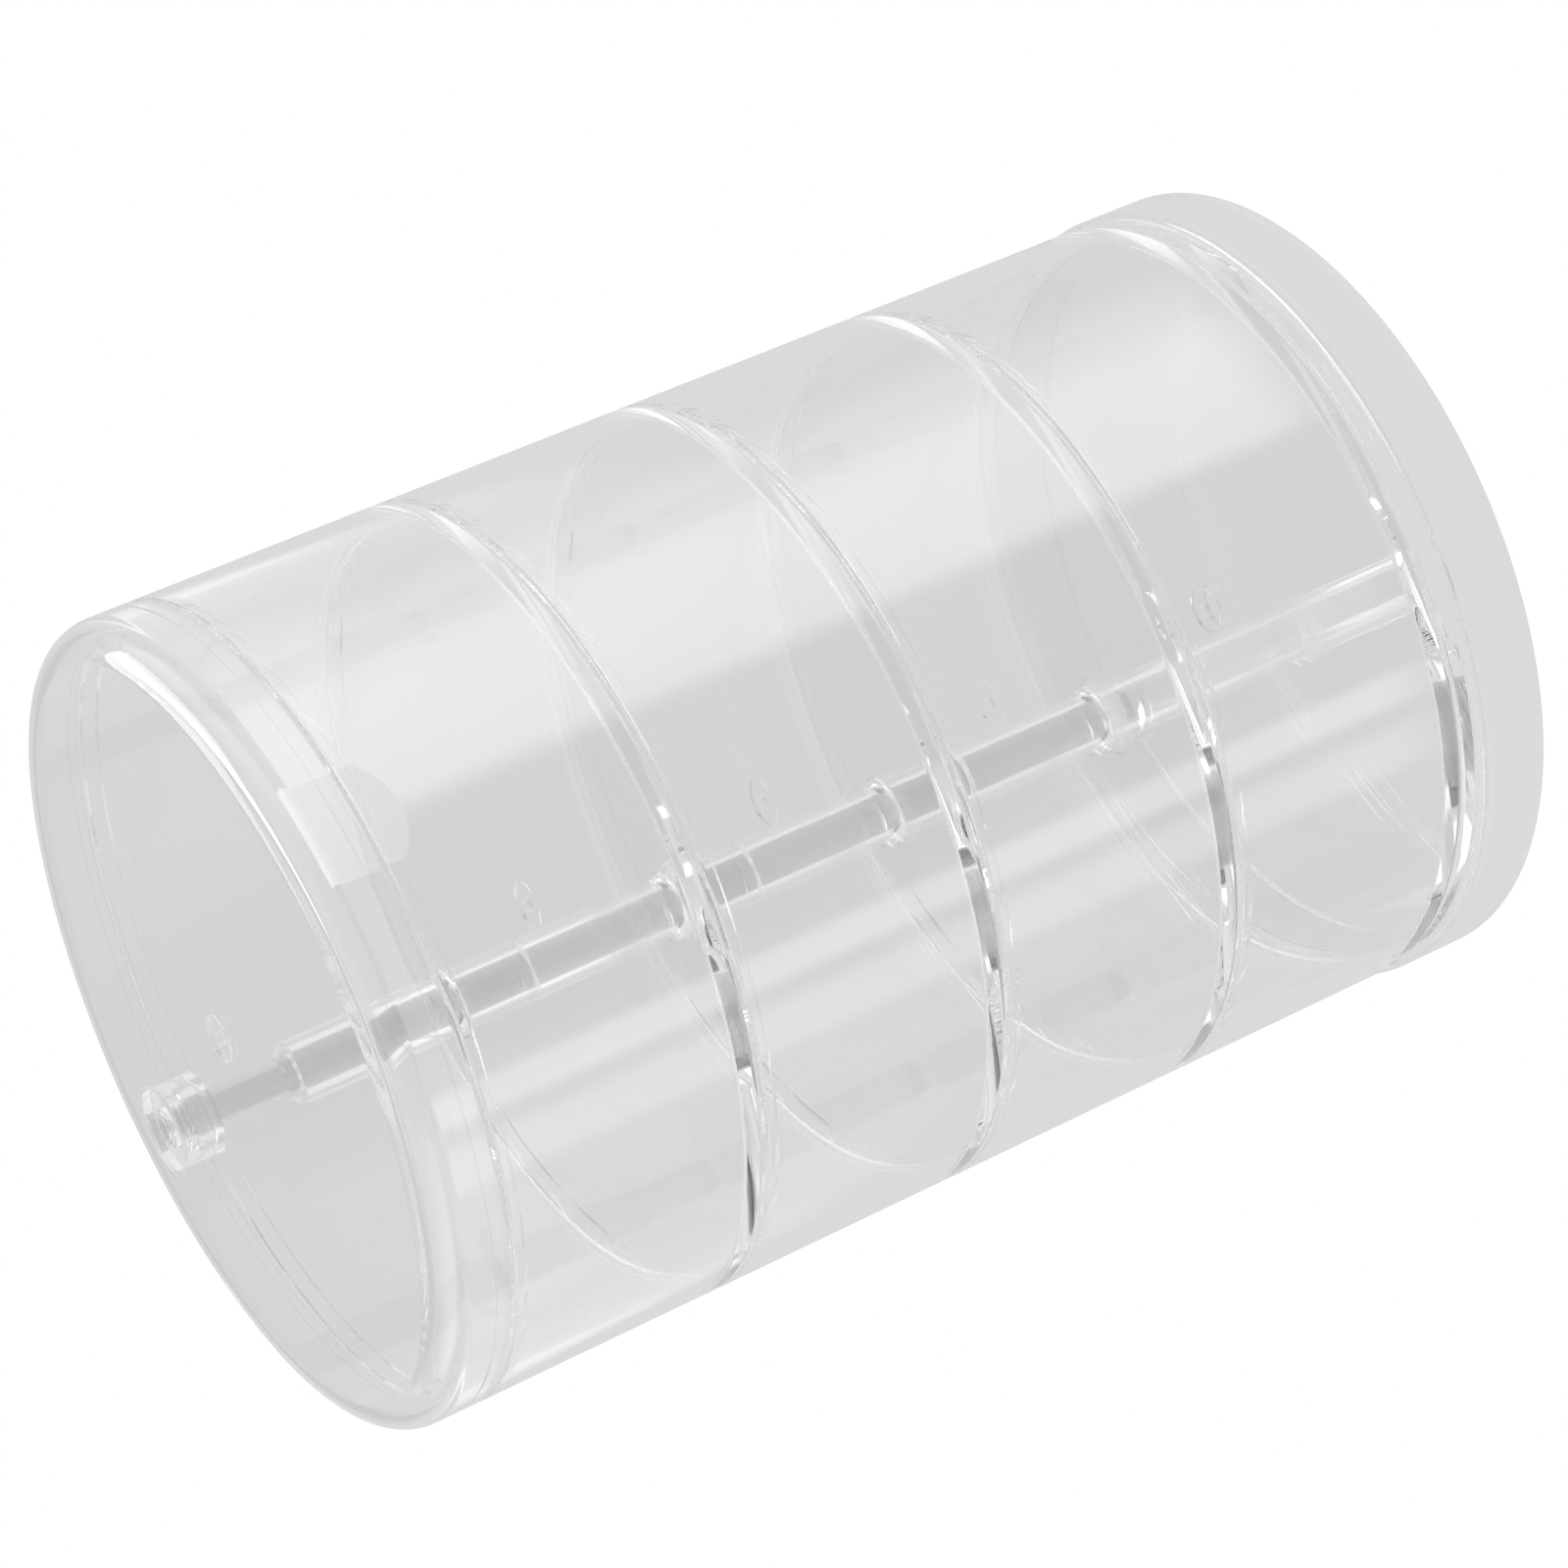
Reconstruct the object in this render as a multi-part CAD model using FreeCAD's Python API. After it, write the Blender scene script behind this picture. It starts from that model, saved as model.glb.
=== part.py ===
import FreeCAD, Part
import math
import os

# Swivel-stack queen cage: a lid, four round trays and a base, strung on one rod at the back.
# Millimetres. The origin is the centre of the base's underside, +Z up, the rod stands at +Y.

os.makedirs("parts", exist_ok=True)

# trays
tray_count = 4
tray_radius = 40.0
tray_pitch = 26.2
seam_gap = 0.3
wall_thickness = 1.5
floor_thickness = 1.4
floor_fillet = 0.6
rim_step_depth = 1.4
rim_step_width = 0.5
rim_round = 0.3
heel_round = 0.6

# rod and the tubes it runs in
rod_edge_distance = 9.6
rod_radius = 2.0
running_clearance = 0.05
press_interference = 0.02
hub_wall = 1.25
hub_drop = 7.7
hub_fillet = 0.8
hub_round = 0.2
spacer_wall = 0.87
spacer_end_clearance = 0.2

# snap rings on the rod's thin ends
tail_step = 0.7
tail_length = 1.9
ring_height = 0.4
ring_thickness = 0.4
ring_count = 2
ring_spacing = 0.85
ring_inset = 0.25
end_clearance = 0.15

# lid
lid_height = 7.4
lid_plate = 1.5
lid_round = 3.4
boss_wall = 2.25
boss_fillet = 0.5
lid_boss_recess = 1.2
lid_tail_cover = 0.4

# base
base_height = 9.5
base_overhang = 0.4
base_land_inset = 0.4
base_land_height = 1.4
base_plate = 2.6
base_wall = 1.8
base_fillet = 1.5
base_foot_round = 0.8
base_edge_round = 0.4
base_boss_length = 3.6
base_boss_cap = 1.2

# moulding gate marks, a shallow dimple with a stub in it
gate_radius = 2.4
gate_depth = 0.35
gate_stub_radius = 0.7
gate_stub_height = 0.25

# places that follow from the sizes above
tray_height = tray_pitch - seam_gap
hub_top = tray_height - hub_drop
rod_offset = tray_radius - rod_edge_distance
bore_radius = rod_radius + running_clearance
grip_radius = rod_radius - press_interference
hub_radius = bore_radius + hub_wall
boss_radius = bore_radius + boss_wall
spacer_radius = grip_radius + spacer_wall
tail_radius = rod_radius - tail_step
ring_radius = tail_radius + ring_height
tail_room = tail_length + end_clearance
base_radius = tray_radius + base_overhang
base_land_radius = tray_radius - base_land_inset
base_underside = base_height - base_plate
base_boss_bottom = base_underside - base_boss_length
rod_bottom = base_boss_bottom + base_boss_cap + tail_room
lid_bottom = base_height + seam_gap + tray_count * tray_pitch
lid_top = lid_bottom + lid_height
lid_ceiling = lid_top - lid_plate
rod_top = lid_ceiling - lid_tail_cover - tail_room
cut_margin = 1.0


def disc(radius, z_from, z_to, y=0.0):
    """A plain round bar along Z."""
    place = FreeCAD.Vector(0, y, z_from)
    return Part.makeCylinder(radius, z_to - z_from, place)


def round_circle(shape, radius, z, size, y=0.0):
    """Round the circular edge with this radius and height, centred on (0, y)."""
    chosen = []
    for edge in shape.Edges:
        curve = edge.Curve
        if not isinstance(curve, Part.Circle):
            continue
        centre = curve.Center
        off = math.hypot(centre.x, centre.y - y)
        if abs(curve.Radius - radius) < 1e-4 and abs(centre.z - z) < 1e-4 and off < 1e-4:
            chosen.append(edge)
    return shape.makeFillet(size, chosen)


def gate_mark(shape, face_z, inward):
    """Sink a dimple with a small stub into a flat face; inward is +1 or -1 along Z."""
    bottom_z = face_z + inward * gate_depth
    stub_z = bottom_z - inward * gate_stub_height
    dimple = disc(gate_radius, min(face_z, bottom_z), max(face_z, bottom_z))
    stub = disc(gate_stub_radius, min(stub_z, bottom_z), max(stub_z, bottom_z))
    return shape.cut(dimple).fuse(stub).removeSplitter()


def ring_heights(shoulder_z, direction):
    """Middle heights of the snap rings on the thin end that starts at a shoulder."""
    heights = []
    for index in range(ring_count):
        step = ring_inset + ring_thickness / 2 + index * ring_spacing
        heights.append(shoulder_z + direction * step)
    return heights


def tray_solid():
    """One tray standing on z = 0: cup, hub tube and rim step."""
    body = disc(tray_radius, 0, tray_height)
    body = round_circle(body, tray_radius, 0, heel_round)
    body = round_circle(body, tray_radius, tray_height, rim_round)
    inner_radius = tray_radius - wall_thickness
    cavity = disc(inner_radius, floor_thickness, tray_height + cut_margin)
    cavity = round_circle(cavity, inner_radius, floor_thickness, floor_fillet)
    body = body.cut(cavity)
    step = disc(inner_radius + rim_step_width, tray_height - rim_step_depth, tray_height + cut_margin)
    body = body.cut(step)
    hub = disc(hub_radius, floor_thickness / 2, hub_top, rod_offset)
    body = body.fuse(hub).removeSplitter()
    body = round_circle(body, hub_radius, floor_thickness, hub_fillet, rod_offset)
    body = round_circle(body, hub_radius, hub_top, hub_round, rod_offset)
    bore = disc(bore_radius, -cut_margin, hub_top + cut_margin, rod_offset)
    body = body.cut(bore)
    return gate_mark(body, 0, 1)


def lid_solid():
    """The lid, rim at lid_bottom, with the boss that turns on the rod's upper end."""
    inner_radius = tray_radius - wall_thickness
    body = disc(tray_radius, lid_bottom, lid_top)
    body = round_circle(body, tray_radius, lid_top, lid_round)
    body = round_circle(body, tray_radius, lid_bottom, rim_round)
    cavity = disc(inner_radius, lid_bottom - cut_margin, lid_ceiling)
    cavity = round_circle(cavity, inner_radius, lid_ceiling, lid_round - lid_plate)
    body = body.cut(cavity)
    step = disc(inner_radius + rim_step_width, lid_bottom - cut_margin, lid_bottom + rim_step_depth)
    body = body.cut(step)
    boss_bottom = lid_bottom + lid_boss_recess
    boss = disc(boss_radius, boss_bottom, lid_top - lid_plate / 2, rod_offset)
    body = body.fuse(boss).removeSplitter()
    body = round_circle(body, boss_radius, lid_ceiling, boss_fillet, rod_offset)
    body = round_circle(body, boss_radius, boss_bottom, hub_round, rod_offset)
    body = body.cut(disc(bore_radius, boss_bottom - cut_margin, rod_top + end_clearance, rod_offset))
    body = body.cut(disc(tail_radius + running_clearance, rod_top, rod_top + tail_room, rod_offset))
    half_groove = ring_thickness / 2 + end_clearance
    for height in ring_heights(rod_top, 1):
        groove = disc(ring_radius + running_clearance, height - half_groove, height + half_groove, rod_offset)
        body = body.cut(groove)
    return gate_mark(body, lid_top, -1)


def base_solid():
    """The base: a plate with a raised land, an open underside and the boss that grips the rod."""
    land_z = base_height - base_land_height
    inner_radius = base_radius - base_wall
    body = disc(base_radius, 0, land_z)
    body = round_circle(body, base_radius, 0, base_foot_round)
    body = round_circle(body, base_radius, land_z, base_edge_round)
    land = disc(base_land_radius, land_z - cut_margin, base_height)
    land = round_circle(land, base_land_radius, base_height, rim_round)
    body = body.fuse(land).removeSplitter()
    cavity = disc(inner_radius, -cut_margin, base_underside)
    cavity = round_circle(cavity, inner_radius, base_underside, base_fillet)
    body = body.cut(cavity)
    boss = disc(boss_radius, base_boss_bottom, base_underside + base_plate / 2, rod_offset)
    body = body.fuse(boss).removeSplitter()
    body = round_circle(body, boss_radius, base_underside, boss_fillet, rod_offset)
    body = round_circle(body, boss_radius, base_boss_bottom, hub_round, rod_offset)
    body = body.cut(disc(grip_radius, rod_bottom, base_height + cut_margin, rod_offset))
    body = body.cut(disc(tail_radius + running_clearance, rod_bottom - tail_room, rod_bottom, rod_offset))
    half_groove = ring_thickness / 2 + end_clearance
    for height in ring_heights(rod_bottom, -1):
        groove = disc(ring_radius + running_clearance, height - half_groove, height + half_groove, rod_offset)
        body = body.cut(groove)
    return gate_mark(body, base_underside, 1)


def rod_solid():
    """The rod with a thin ringed tail at each end."""
    body = disc(rod_radius, rod_bottom, rod_top, rod_offset)
    body = body.fuse(disc(tail_radius, rod_top, rod_top + tail_length, rod_offset))
    body = body.fuse(disc(tail_radius, rod_bottom - tail_length, rod_bottom, rod_offset))
    for height in ring_heights(rod_top, 1) + ring_heights(rod_bottom, -1):
        ring = disc(ring_radius, height - ring_thickness / 2, height + ring_thickness / 2, rod_offset)
        body = body.fuse(ring)
    return body.removeSplitter()


def spacer_solid(z_from, z_to):
    """A tube pressed on the rod, between a tray's hub and the floor above it."""
    body = disc(spacer_radius, z_from, z_to, rod_offset)
    body = round_circle(body, spacer_radius, z_from, hub_round, rod_offset)
    body = round_circle(body, spacer_radius, z_to, hub_round, rod_offset)
    bore = disc(grip_radius, z_from - cut_margin, z_to + cut_margin, rod_offset)
    return body.cut(bore)


def tray_bottom(number):
    """Height of a tray's underside; tray 1 is the top one."""
    return base_height + seam_gap + (tray_count - number) * tray_pitch


base_solid().exportStep("parts/base.step")
lid_solid().exportStep("parts/lid.step")
rod_solid().exportStep("parts/pivot_rod.step")

one_tray = tray_solid()
for number in range(1, tray_count + 1):
    tray = one_tray.copy()
    tray.translate(FreeCAD.Vector(0, 0, tray_bottom(number)))
    tray.exportStep(f"parts/tray_{number}.step")

for number in range(1, tray_count):
    hub_below = tray_bottom(number + 1) + hub_top
    floor_above = tray_bottom(number)
    spacer = spacer_solid(hub_below + spacer_end_clearance, floor_above - spacer_end_clearance)
    spacer.exportStep(f"parts/spacer_{number}.step")
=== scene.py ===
import math
import bpy
from mathutils import Matrix, Vector


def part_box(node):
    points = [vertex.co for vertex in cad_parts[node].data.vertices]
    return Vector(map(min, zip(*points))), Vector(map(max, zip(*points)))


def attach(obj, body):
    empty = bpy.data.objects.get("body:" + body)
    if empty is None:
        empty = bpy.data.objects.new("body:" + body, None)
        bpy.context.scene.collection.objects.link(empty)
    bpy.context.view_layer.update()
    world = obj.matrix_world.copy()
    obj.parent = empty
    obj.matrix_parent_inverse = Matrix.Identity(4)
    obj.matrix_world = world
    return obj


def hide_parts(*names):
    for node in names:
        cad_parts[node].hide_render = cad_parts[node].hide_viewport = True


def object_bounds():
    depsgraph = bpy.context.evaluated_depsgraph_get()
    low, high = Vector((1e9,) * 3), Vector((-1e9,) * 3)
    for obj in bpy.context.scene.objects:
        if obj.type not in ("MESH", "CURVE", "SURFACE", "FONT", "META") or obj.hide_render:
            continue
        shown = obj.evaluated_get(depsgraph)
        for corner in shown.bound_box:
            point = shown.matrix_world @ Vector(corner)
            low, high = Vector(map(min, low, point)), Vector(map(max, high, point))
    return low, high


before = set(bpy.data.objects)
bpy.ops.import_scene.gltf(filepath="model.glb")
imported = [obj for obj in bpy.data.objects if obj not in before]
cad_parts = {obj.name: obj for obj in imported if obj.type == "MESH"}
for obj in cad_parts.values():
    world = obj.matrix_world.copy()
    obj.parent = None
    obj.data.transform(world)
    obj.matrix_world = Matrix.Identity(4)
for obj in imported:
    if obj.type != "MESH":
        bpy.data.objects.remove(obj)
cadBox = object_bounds()
mm = 0.001
hair = 0.01 * mm  # how closely edges are matched, and how far a tube's foot stands off its face
slimSides = 64
filletShare = 0.98  # a foot's rounding stops just short of the foot's edge
finish = {"levelNormal": 0.9, "mergeWithin": 0.0005, "sharpAngle": 32, "faceWeight": 80}


def only(piece):
    # object mode, with just this piece selected and active
    if bpy.context.mode != "OBJECT":
        bpy.ops.object.mode_set(mode="OBJECT")
    bpy.ops.object.select_all(action="DESELECT")
    piece.select_set(True)
    bpy.context.view_layer.objects.active = piece


def editWith(piece, kind, elements):
    # edit mode with just these faces or edges selected
    only(piece)
    bpy.ops.object.mode_set(mode="EDIT")
    bpy.ops.mesh.select_mode(type=kind)
    bpy.ops.mesh.select_all(action="DESELECT")
    bpy.ops.object.mode_set(mode="OBJECT")
    for element in elements(piece.data):
        element.select = True
    bpy.ops.object.mode_set(mode="EDIT")


def addBar(name, radius, low, high, y=0.0, sides=192):
    bpy.ops.object.select_all(action="DESELECT")
    bpy.ops.mesh.primitive_cylinder_add(vertices=sides, radius=radius, depth=high - low,
                                        location=(0, y, (low + high) / 2))
    piece = bpy.context.object
    piece.name = name
    bpy.ops.object.transform_apply(location=True, rotation=True, scale=True)
    return piece


def stepCap(piece, up, start, steps, y=0.0):
    # take the top (up = 1) or bottom (up = -1) face and extrude it through these radii and heights
    def cap(mesh):
        level = [face for face in mesh.polygons if face.normal.z * up > finish["levelNormal"]]
        return [max(level, key=lambda face: face.center.z * up)]
    editWith(piece, "FACE", cap)
    radius, height = start
    for newRadius, newHeight in steps:
        bpy.ops.mesh.extrude_region_move(TRANSFORM_OT_translate={"value": (0, 0, newHeight - height)})
        factor = newRadius / radius
        bpy.ops.transform.resize(value=(factor, factor, 1), center_override=(0, y, newHeight))
        radius, height = newRadius, newHeight
    bpy.ops.object.mode_set(mode="OBJECT")


def onCircle(mesh, edge, radius, y, height=None):
    # whether both ends of an edge lie on this circle, or on this cylinder when no height is given
    def near(index):
        point = mesh.vertices[index].co
        off = abs(math.hypot(point.x, point.y - y) - radius)
        return off < hair and (height is None or abs(point.z - height) < hair)
    return near(edge.vertices[0]) and near(edge.vertices[1])


def bevelCircle(piece, radius, height, size, segments, y=0.0):
    # round off the ring of edges with this radius and height
    def ring(mesh):
        return [edge for edge in mesh.edges if onCircle(mesh, edge, radius, y, height)]
    editWith(piece, "EDGE", ring)
    bpy.ops.mesh.bevel(offset=size, offset_type="OFFSET", segments=segments, profile=0.5, affect="EDGES",
                       clamp_overlap=False)
    bpy.ops.object.mode_set(mode="OBJECT")


def combine(piece, tool, operation):
    only(piece)
    boolean = piece.modifiers.new("boolean", "BOOLEAN")
    boolean.operation = operation
    boolean.solver = "EXACT"
    boolean.object = tool
    bpy.ops.object.modifier_apply(modifier=boolean.name)
    bpy.data.objects.remove(tool)


def smoothOff(piece):
    # smooth the round walls, keep the crisp corners, and keep the flats flat
    only(piece)
    bpy.ops.object.mode_set(mode="EDIT")
    bpy.ops.mesh.select_all(action="SELECT")
    bpy.ops.mesh.remove_doubles(threshold=finish["mergeWithin"] * mm)
    bpy.ops.object.mode_set(mode="OBJECT")
    bpy.ops.object.shade_smooth_by_angle(angle=math.radians(finish["sharpAngle"]))
    weighted = piece.modifiers.new("weighted", "WEIGHTED_NORMAL")
    weighted.keep_sharp = True
    weighted.weight = finish["faceWeight"]
    bpy.ops.object.modifier_apply(modifier=weighted.name)


def copyAt(piece, name, lift):
    twin = piece.copy()
    twin.data = piece.data.copy()
    twin.name = name
    bpy.context.scene.collection.objects.link(twin)
    twin.location.z = lift
    only(twin)
    bpy.ops.object.transform_apply(location=True, rotation=True, scale=True)
    return twin


def settle(piece, node, body, material):
    piece.data.materials.clear()
    piece.data.materials.append(material)
    piece.visible_shadow = False  # clear plastic lets the studio light through
    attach(piece, body)
    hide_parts(node)


def linear(hexColour):
    # a screen colour as the linear red, green and blue that shaders take
    values = [int(hexColour[i:i + 2], 16) / 255 for i in (1, 3, 5)]
    return [v / 12.92 if v <= 0.04045 else ((v + 0.055) / 1.055) ** 2.4 for v in values] + [1.0]


def addNode(tree, kind, settings=None, inputs=None):
    # a socket given as an input is linked, anything else is a plain value
    made = tree.nodes.new("ShaderNode" + kind)
    for key, value in (settings or {}).items():
        setattr(made, key, value)
    for key, value in (inputs or {}).items():
        if isinstance(value, bpy.types.NodeSocket):
            tree.links.new(value, made.inputs[key])
        else:
            made.inputs[key].default_value = value
    return made


def newMaterial(name):
    material = bpy.data.materials.new(name)
    material.use_nodes = True
    material.node_tree.nodes.clear()
    return material, material.node_tree


def addNoise(tree, place, patch, detail, roughness=0.5):
    # cloudy noise with patches of about this many millimetres
    return addNode(tree, "TexNoise", {}, {"Vector": place, "Scale": 1 / (patch * mm), "Detail": detail,
                                          "Roughness": roughness})


def addBump(tree, noise, height, under=None):
    # relief of this many millimetres, on top of another relief if one is given
    inputs = {"Height": noise.outputs["Fac"], "Strength": 1.0, "Distance": height * mm}
    if under:
        inputs["Normal"] = under.outputs["Normal"]
    return addNode(tree, "Bump", {}, inputs)


def endInPlastic(tree, look, place, bump):
    # clear plastic with this relief, and a patchy haze from handling
    haze = addNoise(tree, place, look["hazePatch"], look["hazeDetail"])
    rough = addNode(tree, "MapRange", {}, {
        "Value": haze.outputs["Fac"], "From Min": look["hazeStart"], "From Max": look["hazeFull"],
        "To Min": look["smooth"], "To Max": look["hazy"]})
    shader = addNode(tree, "BsdfPrincipled", {}, {
        "Base Color": linear(look["colour"]), "IOR": look["ior"], "Transmission Weight": 1.0,
        "Roughness": rough.outputs["Result"], "Normal": bump.outputs["Normal"]})
    addNode(tree, "OutputMaterial", {}, {"Surface": shader.outputs["BSDF"]})


def makePolystyrene():
    # general-purpose polystyrene, injection moulded: water clear, glossy, with a faint slow
    # waviness from the melt flow and a light haze where it has been handled
    look = {"colour": "#FDFDFD", "ior": 1.59, "smooth": 0.0, "hazy": 0.02,
            "waveLength": 16, "waveHeight": 0.012, "waveDetail": 1.0, "waveRoughness": 0.4,
            "rippleLength": 5, "rippleHeight": 0.0012, "rippleDetail": 0.5,
            "hazePatch": 22, "hazeDetail": 3.0, "hazeStart": 0.45, "hazeFull": 0.75}
    material, tree = newMaterial("mouldedClearPolystyrene")
    place = addNode(tree, "TexCoord").outputs["Object"]
    wave = addNoise(tree, place, look["waveLength"], look["waveDetail"], look["waveRoughness"])
    ripple = addNoise(tree, place, look["rippleLength"], look["rippleDetail"])
    waveBump = addBump(tree, wave, look["waveHeight"])
    endInPlastic(tree, look, place, addBump(tree, ripple, look["rippleHeight"], waveBump))
    return material


def makeDrawnAcrylic():
    # acrylic rod, drawn: clear and very smooth, with long faint draw lines down its length. Its grey colour is
    # painted shade that darkens the whole rod.
    # the grey colour below is painted shade, not a tint the clear rod has
    look = {"colour": "#D5D6D7", "ior": 1.49, "smooth": 0.0, "hazy": 0.05,
            "lineWidth": 0.5, "lineLength": 40, "lineHeight": 0.004, "lineDetail": 2.0,
            "hazePatch": 8, "hazeDetail": 3.0, "hazeStart": 0.4, "hazeFull": 0.75}
    material, tree = newMaterial("drawnClearAcrylic")
    place = addNode(tree, "TexCoord").outputs["Object"]
    across, along = 1 / (look["lineWidth"] * mm), 1 / (look["lineLength"] * mm)
    stretched = addNode(tree, "Mapping", {}, {"Vector": place, "Scale": (across, across, along)})
    lines = addNode(tree, "TexNoise", {}, {"Vector": stretched.outputs["Vector"], "Scale": 1.0,
                                           "Detail": look["lineDetail"]})
    endInPlastic(tree, look, place, addBump(tree, lines, look["lineHeight"]))
    return material


def makeExtrudedAcrylic():
    # acrylic tube, extruded and cut to length: clear, with a soft orange-peel skin
    look = {"colour": "#F6F6F6", "ior": 1.49, "smooth": 0.01, "hazy": 0.06,
            "peelSize": 1.6, "peelHeight": 0.006, "peelDetail": 1.0,
            "hazePatch": 6, "hazeDetail": 2.0, "hazeStart": 0.4, "hazeFull": 0.7}
    material, tree = newMaterial("extrudedClearAcrylic")
    place = addNode(tree, "TexCoord").outputs["Object"]
    peel = addNoise(tree, place, look["peelSize"], look["peelDetail"])
    endInPlastic(tree, look, place, addBump(tree, peel, look["peelHeight"]))
    return material


polystyrene = makePolystyrene()
drawnAcrylic = makeDrawnAcrylic()
extrudedAcrylic = makeExtrudedAcrylic()
print("materials made")


rodLow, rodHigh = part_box("pivot_rod")
rodY = (rodLow.y + rodHigh.y) / 2
rodRadius = (rodHigh.x - rodLow.x) / 2
trayLow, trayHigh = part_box("tray_4")
trayRadius = (trayHigh.x - trayLow.x) / 2

# a moulding gate: a shallow dimple with a stub in it
gate = {"radius": 2.4, "depth": 0.35, "stubRadius": 0.7, "stubHeight": 0.25}
# the thin ringed ends of the rod, and the room that the lid and base leave around them
tail = {"radius": 1.3, "length": 1.9, "ringRadius": 1.7, "ringThick": 0.4, "ringCount": 2, "firstRing": 0.45,
        "ringSpacing": 0.85, "room": 0.05, "endRoom": 0.15}


def gateSteps(face, inward):
    sink, rise = gate["depth"] * mm, gate["stubHeight"] * mm
    radius, stub = gate["radius"] * mm, gate["stubRadius"] * mm
    return [(radius, face), (radius, face + inward * sink), (stub, face + inward * sink),
            (stub, face + inward * (sink - rise))]


def tailSteps(shoulder, way, widen, stretch):
    # radii and heights down a ringed end; the socket around it is the same shape, wider and longer
    bare, ring = (tail["radius"] + widen) * mm, (tail["ringRadius"] + widen) * mm
    half = tail["ringThick"] / 2 + stretch
    steps = [(bare, shoulder)]
    for index in range(tail["ringCount"]):
        middle = tail["firstRing"] + index * tail["ringSpacing"]
        start, stop = shoulder + way * (middle - half) * mm, shoulder + way * (middle + half) * mm
        steps += [(bare, start), (ring, start), (ring, stop), (bare, stop)]
    steps.append((bare, shoulder + way * (tail["length"] + stretch) * mm))
    return steps


def addTube(piece, way, root, face, end, radius, fillet, filletSegments):
    # a tube for the rod that stands on a face (way = 1) or hangs from it (way = -1), with a soft foot
    foot, seat = radius + fillet, face + way * hair
    tube = addBar("tube", foot, min(root, seat), max(root, seat), rodY, slimSides)
    stepCap(tube, way, (foot, seat), [(radius, seat), (radius, end)], rodY)
    bevelCircle(tube, radius, seat, fillet * filletShare, segments=filletSegments, y=rodY)
    bevelCircle(tube, radius, end, tray["hubRound"] * mm, segments=4, y=rodY)
    combine(piece, tube, "UNION")


tray = {"wall": 1.5, "floor": 1.4, "stepDepth": 1.4, "stepWidth": 0.5, "rimRound": 0.3, "heelRound": 0.6,
        "floorFillet": 0.6, "hubRadius": 3.3, "hubDrop": 7.7, "hubFillet": 0.8, "hubRound": 0.2, "hubRoot": 0.7,
        "bore": 2.05}


def modelTray(low, high):
    inner = trayRadius - tray["wall"] * mm
    step = inner + tray["stepWidth"] * mm
    ledge = high - tray["stepDepth"] * mm
    floor = low + tray["floor"] * mm
    cup = addBar("tray", trayRadius, low, high)
    stepCap(cup, 1, (trayRadius, high), [(step, high), (step, ledge), (inner, ledge), (inner, floor)])
    stepCap(cup, -1, (trayRadius, low), gateSteps(low, 1))
    bevelCircle(cup, trayRadius, low, tray["heelRound"] * mm, segments=5)
    bevelCircle(cup, trayRadius, high, tray["rimRound"] * mm, segments=4)
    bevelCircle(cup, inner, floor, tray["floorFillet"] * mm, segments=6)
    hubTop = high - tray["hubDrop"] * mm
    addTube(cup, 1, low + tray["hubRoot"] * mm, floor, hubTop, tray["hubRadius"] * mm,
            tray["hubFillet"] * mm, filletSegments=6)
    bore = addBar("bore", tray["bore"] * mm, low - mm, hubTop + mm, rodY, slimSides)
    combine(cup, bore, "DIFFERENCE")
    smoothOff(cup)
    return cup


firstTray = modelTray(trayLow.z, trayHigh.z)
firstTray.name = "trayFour"
trays = [firstTray]
for number, name in ((3, "trayThree"), (2, "trayTwo"), (1, "trayOne")):
    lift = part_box(f"tray_{number}")[0].z - trayLow.z
    trays.append(copyAt(firstTray, name, lift))
for number, piece in zip((4, 3, 2, 1), trays):
    settle(piece, f"tray_{number}", f"tray_{number}", polystyrene)
print("trays modelled")


lid = {"plate": 1.5, "round": 3.4, "bossRadius": 4.3, "bossRecess": 1.2, "bossFillet": 0.5, "bossRoot": 0.7}


def modelLid():
    low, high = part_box("lid")
    inner = trayRadius - tray["wall"] * mm
    step = inner + tray["stepWidth"] * mm
    ledge = low.z + tray["stepDepth"] * mm
    ceiling = high.z - lid["plate"] * mm
    cover = addBar("lid", trayRadius, low.z, high.z)
    stepCap(cover, -1, (trayRadius, low.z), [(step, low.z), (step, ledge), (inner, ledge), (inner, ceiling)])
    stepCap(cover, 1, (trayRadius, high.z), gateSteps(high.z, -1))
    bevelCircle(cover, trayRadius, high.z, lid["round"] * mm, segments=14)
    bevelCircle(cover, trayRadius, low.z, tray["rimRound"] * mm, segments=4)
    bevelCircle(cover, inner, ceiling, (lid["round"] - lid["plate"]) * mm, segments=8)
    bossEnd = low.z + lid["bossRecess"] * mm
    addTube(cover, -1, high.z - lid["bossRoot"] * mm, ceiling, bossEnd, lid["bossRadius"] * mm,
            lid["bossFillet"] * mm, filletSegments=5)
    shoulder = rodHigh.z - tail["length"] * mm
    socketTop = shoulder + tail["endRoom"] * mm
    bore = addBar("bore", tray["bore"] * mm, bossEnd - mm, socketTop, rodY, slimSides)
    stepCap(bore, 1, (tray["bore"] * mm, socketTop),
            tailSteps(shoulder, 1, tail["room"], tail["endRoom"])[2:], rodY)
    combine(cover, bore, "DIFFERENCE")
    smoothOff(cover)
    return cover


settle(modelLid(), "lid", "lid", polystyrene)
print("lid modelled")


base = {"landInset": 0.4, "landHeight": 1.4, "plate": 2.6, "wall": 1.8, "fillet": 1.5, "footRound": 0.8,
        "edgeRound": 0.4, "bossLength": 3.6, "bossRoot": 1.0, "bore": 2.03, "boreLap": 0.03}


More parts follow.
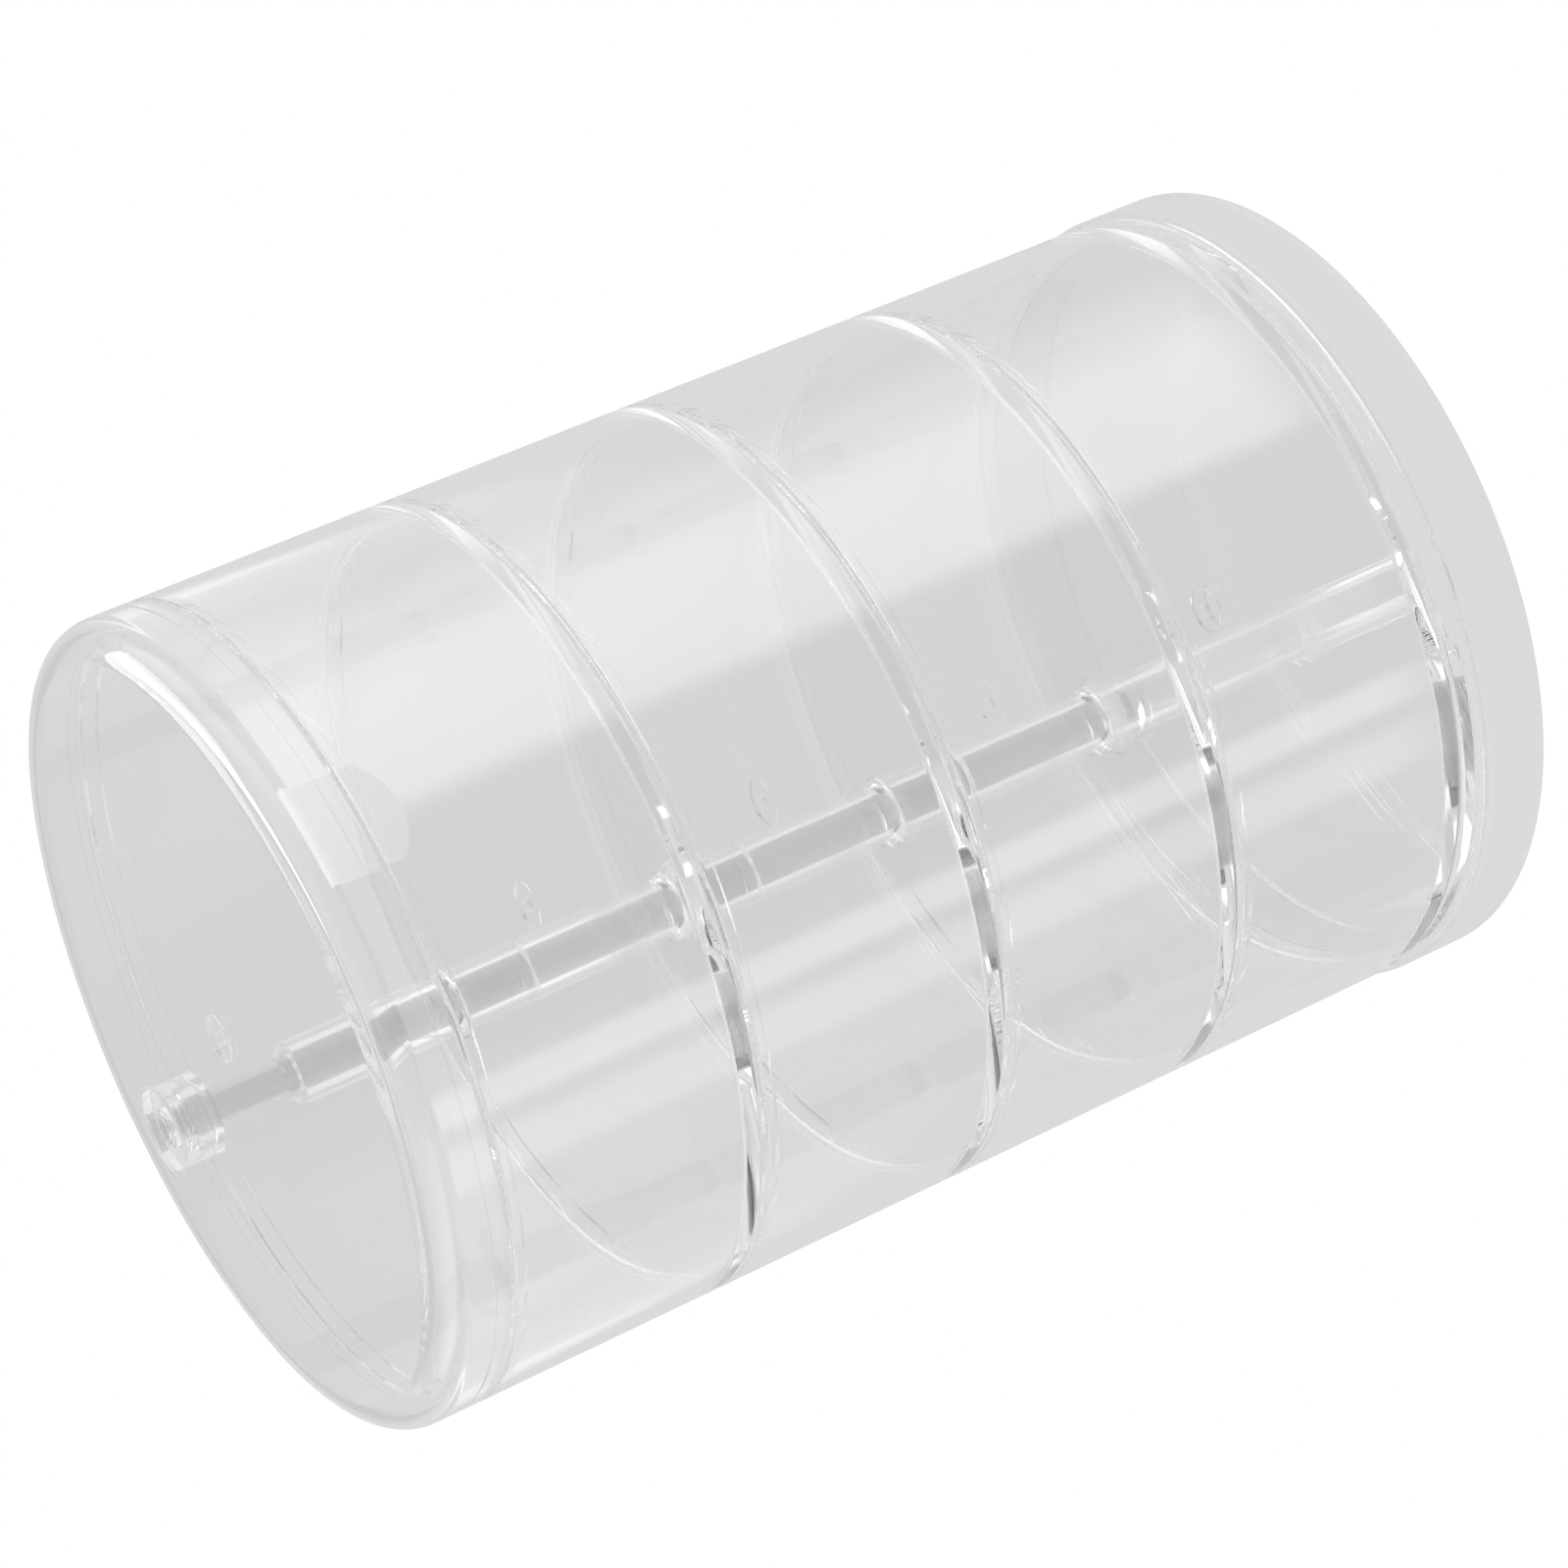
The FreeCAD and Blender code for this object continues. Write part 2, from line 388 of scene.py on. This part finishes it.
def modelBase():
    low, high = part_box("base")
    outer = (high.x - low.x) / 2
    land = trayRadius - base["landInset"] * mm
    landFoot = high.z - base["landHeight"] * mm
    inner = outer - base["wall"] * mm
    under = high.z - base["plate"] * mm
    stand = addBar("base", outer, low.z, landFoot)
    stepCap(stand, 1, (outer, landFoot), [(land, landFoot), (land, high.z)])
    stepCap(stand, -1, (outer, low.z), [(inner, low.z), (inner, under)] + gateSteps(under, 1))
    bevelCircle(stand, outer, low.z, base["footRound"] * mm, segments=5)
    bevelCircle(stand, outer, landFoot, base["edgeRound"] * mm, segments=4)
    bevelCircle(stand, land, high.z, tray["rimRound"] * mm, segments=4)
    bevelCircle(stand, inner, under, base["fillet"] * mm, segments=6)
    # the boss that grips the rod hangs under the plate
    bossEnd = under - base["bossLength"] * mm
    addTube(stand, -1, under + base["bossRoot"] * mm, under, bossEnd, lid["bossRadius"] * mm,
            lid["bossFillet"] * mm, filletSegments=5)
    shoulder = rodLow.z + tail["length"] * mm
    socketEnd = shoulder - base["boreLap"] * mm
    bore = addBar("bore", base["bore"] * mm, socketEnd, high.z + mm, rodY, slimSides)
    stepCap(bore, -1, (base["bore"] * mm, socketEnd),
            tailSteps(shoulder, -1, tail["room"], tail["endRoom"])[1:], rodY)
    combine(stand, bore, "DIFFERENCE")
    smoothOff(stand)
    return stand


settle(modelBase(), "base", "stand", polystyrene)
print("base modelled")


def modelRod():
    top, bottom = rodHigh.z - tail["length"] * mm, rodLow.z + tail["length"] * mm
    rod = addBar("rod", rodRadius, bottom, top, rodY, slimSides)
    stepCap(rod, 1, (rodRadius, top), tailSteps(top, 1, 0, 0), rodY)
    stepCap(rod, -1, (rodRadius, bottom), tailSteps(bottom, -1, 0, 0), rodY)
    smoothOff(rod)
    return rod


settle(modelRod(), "pivot_rod", "stand", drawnAcrylic)

spacer = {"bore": 2.03, "endRound": 0.2}


def modelSpacer(low, high):
    radius = (high.x - low.x) / 2
    hole = spacer["bore"] * mm
    tube = addBar("spacerThree", radius, low.z, high.z, rodY, slimSides)
    for up, end in ((1, high.z), (-1, low.z)):
        stepCap(tube, up, (radius, end), [(hole, end)], rodY)
        bpy.ops.object.mode_set(mode="EDIT")
        bpy.ops.mesh.delete(type="ONLY_FACE")
        bpy.ops.object.mode_set(mode="OBJECT")

    def rims(mesh):
        return [edge for edge in mesh.edges if onCircle(mesh, edge, hole, rodY)]
    editWith(tube, "EDGE", rims)
    bpy.ops.mesh.bridge_edge_loops()
    bpy.ops.object.mode_set(mode="OBJECT")
    bevelCircle(tube, radius, low.z, spacer["endRound"] * mm, segments=4, y=rodY)
    bevelCircle(tube, radius, high.z, spacer["endRound"] * mm, segments=4, y=rodY)
    smoothOff(tube)
    return tube


spacerLow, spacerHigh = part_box("spacer_3")
firstSpacer = modelSpacer(spacerLow, spacerHigh)
spacers = [firstSpacer]
for number, name in ((2, "spacerTwo"), (1, "spacerOne")):
    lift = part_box(f"spacer_{number}")[0].z - spacerLow.z
    spacers.append(copyAt(firstSpacer, name, lift))
for number, piece in zip((3, 2, 1), spacers):
    settle(piece, f"spacer_{number}", "stand", extrudedAcrylic)
print("rod and spacers modelled")


# The surroundings come in three layers. The camera itself sees a plain white floor and sky. Through the clear
# plastic there is a grey floor, lighter to the left and right, under a soft room light. What the plastic
# mirrors is a third floor with light cards on it, and the softbox.
studio = {"turn": 11.3, "floorHalf": 12.0, "seenWhite": "#FFFFFF", "floorShine": 0.70, "bounces": 300}
facing = math.radians(-90 - studio["turn"])  # the side of the object that faces the camera


def compass(angle):
    # the level direction at this angle
    return Vector((math.cos(angle), math.sin(angle), 0))


def smoothstep(tree, value, start, stop, top=1.0):
    # a soft rise from 0 to top, as the value goes from start to stop
    return addNode(tree, "MapRange", {"interpolation_type": "SMOOTHSTEP"}, {
        "Value": value, "From Min": start, "From Max": stop, "To Max": top}).outputs["Result"]


def calculate(tree, operation, *values):
    return addNode(tree, "Math", {"operation": operation}, dict(enumerate(values))).outputs[0]


def endInGlow(material, tree, strength, colour="#FFFFFF"):
    shader = addNode(tree, "Emission", {}, {"Color": linear(colour), "Strength": strength})
    addNode(tree, "OutputMaterial", {}, {"Surface": shader.outputs["Emission"]})
    material.cycles.emission_sampling = "NONE"
    return material


def plainGlow(name, strength, colour="#FFFFFF"):
    material, tree = newMaterial(name)
    return endInGlow(material, tree, strength, colour)


def seenBy(piece, material, camera=False, glossy=False, through=False):
    # a piece of the studio, and which rays may see it
    piece.data.materials.append(material)
    piece.visible_camera = camera
    piece.visible_glossy = glossy
    piece.visible_transmission = through
    piece.visible_diffuse = False
    piece.visible_shadow = False


def addPlane(name, size, location, rotation=(0, 0, 0)):
    bpy.ops.object.select_all(action="DESELECT")
    bpy.ops.mesh.primitive_plane_add(size=size, location=location, rotation=rotation)
    plane = bpy.context.object
    plane.name = name
    return plane


def addFloor(name, drop, material, **seen):
    # a wide floor this many millimetres under the object
    floor = addPlane(name, 2 * studio["floorHalf"], (0, 0, cadBox[0].z - drop * mm))
    seenBy(floor, material, **seen)


card = {"columns": 32, "rows": 12, "lift": 0.1, "reach": 0.4, "footStart": 0.03, "footFull": 0.08}
# start and stop are a band's edges on the wall, in degrees round from the side that faces the camera;
# startSoft and stopSoft are the shares of its width in which it fades
bands = {"bandWide": {"start": 16, "stop": 56, "glow": 2.3, "startSoft": 0.12, "stopSoft": 0.6},
         "bandNarrow": {"start": -24, "stop": -17, "glow": 1.9, "startSoft": 0.35, "stopSoft": 0.35},
         "bandFaint": {"start": -34, "stop": -24, "glow": 1.2, "startSoft": 0.35, "stopSoft": 0.35},
         "bandMiddle": {"start": -12, "stop": -3, "glow": 1.4, "startSoft": 0.35, "stopSoft": 0.35}}


def addBand(name, band):
    # a light card on the floor that the round walls mirror as one soft band along the stack
    bpy.ops.object.select_all(action="DESELECT")
    bpy.ops.mesh.primitive_grid_add(x_subdivisions=card["columns"], y_subdivisions=card["rows"], size=1,
                                    location=(0, 0, 0))
    sheet = bpy.context.object
    sheet.name = name
    level = Vector((0, 0, cadBox[0].z + card["lift"] * mm))
    for point in sheet.data.vertices:
        across, along = point.co.x + 0.5, point.co.y + 0.5
        angle = math.radians(band["start"] + (band["stop"] - band["start"]) * across)
        # out from the wall, the way a level ray from the camera is turned by it
        away = compass(facing + 2 * angle) * card["reach"] * along
        point.co = compass(facing + angle) * trayRadius + away + level
    material, tree = newMaterial(name)
    spot = addNode(tree, "SeparateXYZ", {}, {0: addNode(tree, "TexCoord").outputs["UV"]}).outputs
    rise = smoothstep(tree, spot["X"], 0.0, band["startSoft"])
    fall = smoothstep(tree, spot["X"], 1.0, 1 - band["stopSoft"])
    # the card starts a little way out, so the low base mirrors plain floor
    foot = smoothstep(tree, spot["Y"], card["footStart"], card["footFull"])
    soft = calculate(tree, "MULTIPLY", calculate(tree, "MULTIPLY", rise, fall), foot)
    strength = calculate(tree, "MULTIPLY_ADD", soft, band["glow"], studio["floorShine"])
    seenBy(sheet, endInGlow(material, tree, strength), glossy=True)


softbox = {"heading": 36, "distance": 0.345, "width": 0.17, "tall": 0.2, "lowGlow": 1.8, "highGlow": 4.5,
           "fullAt": 0.7}


def addSoftbox():
    # an upright softbox that stands on the floor and faces the object, brighter towards its top
    angle = facing + math.radians(softbox["heading"])
    middle = compass(angle) * softbox["distance"] + Vector((0, 0, softbox["tall"] / 2))
    box = addPlane("softbox", 1, middle, (math.radians(90), 0, angle + math.radians(90)))
    box.scale = (softbox["width"], softbox["tall"], 1)
    material, tree = newMaterial("softbox")
    height = addNode(tree, "SeparateXYZ", {}, {0: addNode(tree, "TexCoord").outputs["UV"]}).outputs["Y"]
    glow = addNode(tree, "MapRange", {}, {"Value": height, "From Min": 0.0, "From Max": softbox["fullAt"],
                                          "To Min": softbox["lowGlow"], "To Max": softbox["highGlow"]})
    seenBy(box, endInGlow(material, tree, glow.outputs["Result"]), glossy=True)


cornerLight = {"heading": 152, "height": 42, "distance": 0.8, "side": 0.4, "glow": 2.5}


def addCornerLight():
    # a high card behind the object that lights its corners and seams, turned to face it
    angle, rise = facing + math.radians(cornerLight["heading"]), math.radians(cornerLight["height"])
    away = compass(angle) * math.cos(rise) + Vector((0, 0, math.sin(rise)))
    middle = (cadBox[0] + cadBox[1]) / 2 + away * cornerLight["distance"]
    panel = addPlane("cornerCard", 1, middle, away.to_track_quat("Z", "Y").to_euler())
    panel.scale = (cornerLight["side"], cornerLight["side"], 1)
    seenBy(panel, plainGlow("cornerCard", cornerLight["glow"]), glossy=True, through=True)


room = {"grey": "#DCDCDC", "sideStart": 0.15, "sideSoft": 0.05, "sideGlow": 1.02, "near": 0.35, "far": 0.6,
        "horizonGlow": 0.75, "zenithGlow": 1.1, "glowStart": 0.6, "glowFull": 0.95,
        "wingGlow": 0.75, "wingStart": 0.5, "wingFull": 0.9, "wingLow": 0.15, "wingHigh": 0.3}


def roomFloorMaterial():
    # plain grey, a little lighter to the left and right of the object, which brightens the edges of the tubes
    material, tree = newMaterial("roomFloor")
    place = addNode(tree, "TexCoord").outputs["Object"]
    turned = addNode(tree, "VectorRotate", {}, {"Vector": place, "Angle": -facing}).outputs["Vector"]
    aside = calculate(tree, "ABSOLUTE", addNode(tree, "SeparateXYZ", {}, {0: turned}).outputs["Y"])
    sides = smoothstep(tree, aside, room["sideStart"], room["sideStart"] + room["sideSoft"])
    reach = addNode(tree, "VectorMath", {"operation": "LENGTH"}, {0: place}).outputs["Value"]
    share = calculate(tree, "MULTIPLY", sides, smoothstep(tree, reach, room["far"], room["near"]))
    glow = addNode(tree, "MapRange", {}, {"Value": share, "To Min": linear(room["grey"])[0],
                                          "To Max": room["sideGlow"]})
    return endInGlow(material, tree, glow.outputs["Result"])


def makeWorld():
    world = bpy.data.worlds.new("studio")
    bpy.context.scene.world = world
    world.use_nodes = True
    tree = world.node_tree
    tree.nodes.clear()
    direction = addNode(tree, "TexCoord").outputs["Generated"]
    turned = addNode(tree, "VectorRotate", {}, {"Vector": direction, "Angle": -facing}).outputs["Vector"]
    heading = addNode(tree, "SeparateXYZ", {}, {0: turned}).outputs
    glow = addNode(tree, "MapRange", {}, {
        "Value": heading["Z"], "From Min": room["glowStart"], "From Max": room["glowFull"],
        "To Min": room["horizonGlow"], "To Max": room["zenithGlow"]})
    # two soft wings of light above the horizon, left and right of the object
    aside = calculate(tree, "ABSOLUTE", heading["Y"])
    wings = smoothstep(tree, aside, room["wingStart"], room["wingFull"], room["wingGlow"])
    above = smoothstep(tree, heading["Z"], room["wingLow"], room["wingHigh"])
    total = calculate(tree, "MULTIPLY_ADD", wings, above, glow.outputs["Result"])
    lit = addNode(tree, "Background", {}, {"Strength": total})
    seen = addNode(tree, "Background", {}, {"Color": linear(studio["seenWhite"]), "Strength": 1.0})
    ray = addNode(tree, "LightPath").outputs["Is Camera Ray"]
    mix = addNode(tree, "MixShader", {}, {0: ray, 1: lit.outputs[0], 2: seen.outputs[0]})
    addNode(tree, "OutputWorld", {}, {"Surface": mix.outputs[0]})


def makeStudio():
    makeWorld()
    # each floor is seen by rays of one kind, and they lie a little apart
    addFloor("paleFloor", 0.1, plainGlow("paleFloor", 1.0, studio["seenWhite"]), camera=True)
    addFloor("roomFloor", 0.2, roomFloorMaterial(), through=True)
    addFloor("shineFloor", 0.3, plainGlow("floorShine", studio["floorShine"]), glossy=True)
    for name, band in bands.items():
        addBand(name, band)
    addSoftbox()
    addCornerLight()


shot = {"aim": (0.8, -0.2, -0.8), "distance": 0.5016, "heading": 11.36, "tilt": -23.80, "roll": -113.44,
        "lens": 119.99, "sensor": 36, "near": 0.01, "far": 50}


def makeCamera():
    low, high = Vector(cadBox[0]), Vector(cadBox[1])
    target = (low + high) / 2 + Vector(shot["aim"]) * mm
    turn = Matrix.Rotation(math.radians(-shot["heading"]), 4, "Z")
    turn = turn @ Matrix.Rotation(math.radians(90 + shot["tilt"]), 4, "X")
    data = bpy.data.cameras.new("camera")
    data.lens, data.sensor_width = shot["lens"], shot["sensor"]
    data.clip_start, data.clip_end = shot["near"], shot["far"]
    camera = bpy.data.objects.new("camera", data)
    bpy.context.scene.collection.objects.link(camera)
    place = Matrix.Translation(target + turn @ Vector((0, 0, shot["distance"])))
    camera.matrix_world = place @ turn @ Matrix.Rotation(math.radians(shot["roll"]), 4, "Z")
    bpy.context.scene.camera = camera


makeStudio()
makeCamera()
view = bpy.context.scene.view_settings
view.view_transform = "Standard"
cycles = bpy.context.scene.cycles
# many clear walls stand one behind another
cycles.max_bounces = cycles.transmission_bounces = cycles.glossy_bounces = studio["bounces"]
cycles.caustics_refractive = False
cycles.caustics_reflective = False
print("studio set up")
